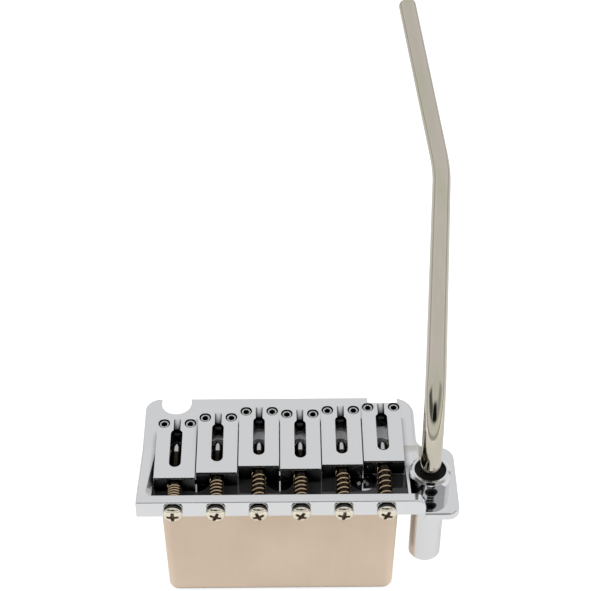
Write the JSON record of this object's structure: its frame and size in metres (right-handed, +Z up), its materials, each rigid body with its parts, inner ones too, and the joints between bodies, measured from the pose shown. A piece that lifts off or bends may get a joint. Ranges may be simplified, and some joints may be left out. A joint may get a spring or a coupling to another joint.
{
  "type": "guitar tremolo bridge",
  "caption": "Stud-pivoted guitar tremolo bridge: plated tray with sprung block saddles, sustain block below, and a bent swing arm in a side holder.",
  "frame": {"origin": "middle of the pivot line, which joins the bottoms of the two stud notches on the plate's top face", "axes": "+X across the strings towards the arm side, +Y from the rear wall towards the neck, +Z up away from the guitar's body"},
  "size_m": [0.0867, 0.1674, 0.0905],
  "materials": {
    "chrome_plate": "polished plating",
    "bright_nickel": "polished warm plating",
    "grub_steel": "plain steel",
    "spring_wire": "drawn wire",
    "block_metal": "satin coating",
    "bush_plastic": "moulded"
  },
  "bodies": {
    "bridge": {"base_plate": "chrome_plate", "sustain_block": "block_metal", "block_screw_bass": "bright_nickel", "block_screw_middle": "bright_nickel", "block_screw_treble": "bright_nickel", "arm_holder": "chrome_plate", "arm_bush": "bush_plastic"},
    "spring_1": {"intonation_spring_1": "spring_wire"},
    "screw_1": {"intonation_screw_1": "bright_nickel"},
    "saddle_1": {"saddle_1": "chrome_plate"},
    "height_screws_1": {"bass_height_screw_1": "grub_steel", "treble_height_screw_1": "grub_steel"},
    "spring_2": {"intonation_spring_2": "spring_wire"},
    "screw_2": {"intonation_screw_2": "bright_nickel"},
    "saddle_2": {"saddle_2": "chrome_plate"},
    "height_screws_2": {"bass_height_screw_2": "grub_steel", "treble_height_screw_2": "grub_steel"},
    "spring_3": {"intonation_spring_3": "spring_wire"},
    "screw_3": {"intonation_screw_3": "bright_nickel"},
    "saddle_3": {"saddle_3": "chrome_plate"},
    "height_screws_3": {"bass_height_screw_3": "grub_steel", "treble_height_screw_3": "grub_steel"},
    "spring_4": {"intonation_spring_4": "spring_wire"},
    "screw_4": {"intonation_screw_4": "bright_nickel"},
    "saddle_4": {"saddle_4": "chrome_plate"},
    "height_screws_4": {"bass_height_screw_4": "grub_steel", "treble_height_screw_4": "grub_steel"},
    "spring_5": {"intonation_spring_5": "spring_wire"},
    "screw_5": {"intonation_screw_5": "bright_nickel"},
    "saddle_5": {"saddle_5": "chrome_plate"},
    "height_screws_5": {"bass_height_screw_5": "grub_steel", "treble_height_screw_5": "grub_steel"},
    "spring_6": {"intonation_spring_6": "spring_wire"},
    "screw_6": {"intonation_screw_6": "bright_nickel"},
    "saddle_6": {"saddle_6": "chrome_plate"},
    "height_screws_6": {"bass_height_screw_6": "grub_steel", "treble_height_screw_6": "grub_steel"},
    "torque_screw": {"torque_screw": "grub_steel"},
    "arm": {"tremolo_arm": "bright_nickel"}
  },
  "joints": [
    {"name": "saddle_1_height", "type": "hinge", "parent": "bridge", "child": "spring_1", "pos_m": [-0.027, -0.03495, 0.00215], "axis": [1, 0, 0], "range_deg": [-0.9, 3.5]},
    {"name": "screw_1_turn", "type": "hinge", "parent": "spring_1", "child": "screw_1", "pos_m": [-0.027, -0.03495, 0.00215], "axis": [0, 0.9998, 0.0175], "range_deg": [-5112.1, 1368.1], "deforming": ["intonation_spring_1"]},
    {"name": "saddle_1_travel", "type": "slide", "parent": "spring_1", "child": "saddle_1", "axis": [0, 0.9998, 0.0175], "range_m": [-0.0019, 0.0071], "deforming": ["intonation_spring_1"]},
    {"name": "height_screws_1_travel", "type": "slide", "parent": "saddle_1", "child": "height_screws_1", "axis": [0, -0.0175, 0.9998], "range_m": [-0.00149, 0.00039]},
    {"name": "saddle_2_height", "type": "hinge", "parent": "bridge", "child": "spring_2", "pos_m": [-0.0162, -0.03495, 0.00215], "axis": [1, 0, 0], "range_deg": [-1.9, 2.5]},
    {"name": "screw_2_turn", "type": "hinge", "parent": "spring_2", "child": "screw_2", "pos_m": [-0.0162, -0.03495, 0.00215], "axis": [0, 0.9994, 0.0349], "range_deg": [-3888.1, 2520.1], "deforming": ["intonation_spring_2"]},
    {"name": "saddle_2_travel", "type": "slide", "parent": "spring_2", "child": "saddle_2", "axis": [0, 0.9994, 0.0349], "range_m": [-0.0035, 0.0054], "deforming": ["intonation_spring_2"]},
    {"name": "height_screws_2_travel", "type": "slide", "parent": "saddle_2", "child": "height_screws_2", "axis": [0, -0.0349, 0.9994], "range_m": [-0.00107, 0.00081]},
    {"name": "saddle_3_height", "type": "hinge", "parent": "bridge", "child": "spring_3", "pos_m": [-0.0054, -0.03495, 0.00215], "axis": [1, 0, 0], "range_deg": [-1.9, 2.5]},
    {"name": "screw_3_turn", "type": "hinge", "parent": "spring_3", "child": "screw_3", "pos_m": [-0.0054, -0.03495, 0.00215], "axis": [0, 0.9994, 0.0349], "range_deg": [-2376.1, 3024.1], "deforming": ["intonation_spring_3"]},
    {"name": "saddle_3_travel", "type": "slide", "parent": "spring_3", "child": "saddle_3", "axis": [0, 0.9994, 0.0349], "range_m": [-0.0042, 0.0033], "deforming": ["intonation_spring_3"]},
    {"name": "height_screws_3_travel", "type": "slide", "parent": "saddle_3", "child": "height_screws_3", "axis": [0, -0.0349, 0.9994], "range_m": [-0.00113, 0.00086]},
    {"name": "saddle_4_height", "type": "hinge", "parent": "bridge", "child": "spring_4", "pos_m": [0.0054, -0.03495, 0.00215], "axis": [1, 0, 0], "range_deg": [-2.1, 2.3]},
    {"name": "screw_4_turn", "type": "hinge", "parent": "spring_4", "child": "screw_4", "pos_m": [0.0054, -0.03495, 0.00215], "axis": [0, 0.9993, 0.0384], "range_deg": [-3168.1, 2808.1], "deforming": ["intonation_spring_4"]},
    {"name": "saddle_4_travel", "type": "slide", "parent": "spring_4", "child": "saddle_4", "axis": [0, 0.9993, 0.0384], "range_m": [-0.0039, 0.0044], "deforming": ["intonation_spring_4"]},
    {"name": "height_screws_4_travel", "type": "slide", "parent": "saddle_4", "child": "height_screws_4", "axis": [0, -0.0384, 0.9993], "range_m": [-0.00101, 0.00092]},
    {"name": "saddle_5_height", "type": "hinge", "parent": "bridge", "child": "spring_5", "pos_m": [0.0162, -0.03495, 0.00215], "axis": [1, 0, 0], "range_deg": [-1.8, 2.6]},
    {"name": "screw_5_turn", "type": "hinge", "parent": "spring_5", "child": "screw_5", "pos_m": [0.0162, -0.03495, 0.00215], "axis": [0, 0.9995, 0.0332], "range_deg": [-2160.1, 3240.1], "deforming": ["intonation_spring_5"]},
    {"name": "saddle_5_travel", "type": "slide", "parent": "spring_5", "child": "saddle_5", "axis": [0, 0.9995, 0.0332], "range_m": [-0.0045, 0.003], "deforming": ["intonation_spring_5"]},
    {"name": "height_screws_5_travel", "type": "slide", "parent": "saddle_5", "child": "height_screws_5", "axis": [0, -0.0332, 0.9995], "range_m": [-0.00117, 0.00081]},
    {"name": "saddle_6_height", "type": "hinge", "parent": "bridge", "child": "spring_6", "pos_m": [0.027, -0.03495, 0.00215], "axis": [1, 0, 0], "range_deg": [-1.4, 3]},
    {"name": "screw_6_turn", "type": "hinge", "parent": "spring_6", "child": "screw_6", "pos_m": [0.027, -0.03495, 0.00215], "axis": [0, 0.9997, 0.0262], "range_deg": [-1368.1, 4104.1], "deforming": ["intonation_spring_6"]},
    {"name": "saddle_6_travel", "type": "slide", "parent": "spring_6", "child": "saddle_6", "axis": [0, 0.9997, 0.0262], "range_m": [-0.0057, 0.0019], "deforming": ["intonation_spring_6"]},
    {"name": "height_screws_6_travel", "type": "slide", "parent": "saddle_6", "child": "height_screws_6", "axis": [0, -0.0262, 0.9997], "range_m": [-0.00135, 0.00063]},
    {"name": "torque_screw_turn", "type": "hinge", "parent": "bridge", "child": "torque_screw", "pos_m": [0.0386, -0.0306, 0.0026], "axis": [0, 1, 0], "range_deg": [-180, 180]},
    {"name": "arm_swing", "type": "hinge", "parent": "bridge", "child": "arm", "pos_m": [0.0386, -0.026, 0], "axis": [0, 0, 1], "continuous": true}
  ],
  "couplings": [
    {"joint": "screw_1_turn", "follows": "saddle_1_travel", "rad_per_m": -12566},
    {"joint": "height_screws_1_travel", "follows": "saddle_1_height", "m_per_rad": -0.02445},
    {"joint": "screw_2_turn", "follows": "saddle_2_travel", "rad_per_m": -12566},
    {"joint": "height_screws_2_travel", "follows": "saddle_2_height", "m_per_rad": -0.0245},
    {"joint": "screw_3_turn", "follows": "saddle_3_travel", "rad_per_m": -12566},
    {"joint": "height_screws_3_travel", "follows": "saddle_3_height", "m_per_rad": -0.0259},
    {"joint": "screw_4_turn", "follows": "saddle_4_travel", "rad_per_m": -12566},
    {"joint": "height_screws_4_travel", "follows": "saddle_4_height", "m_per_rad": -0.0251},
    {"joint": "screw_5_turn", "follows": "saddle_5_travel", "rad_per_m": -12566},
    {"joint": "height_screws_5_travel", "follows": "saddle_5_height", "m_per_rad": -0.02585},
    {"joint": "screw_6_turn", "follows": "saddle_6_travel", "rad_per_m": -12566},
    {"joint": "height_screws_6_travel", "follows": "saddle_6_height", "m_per_rad": -0.0258}
  ]
}
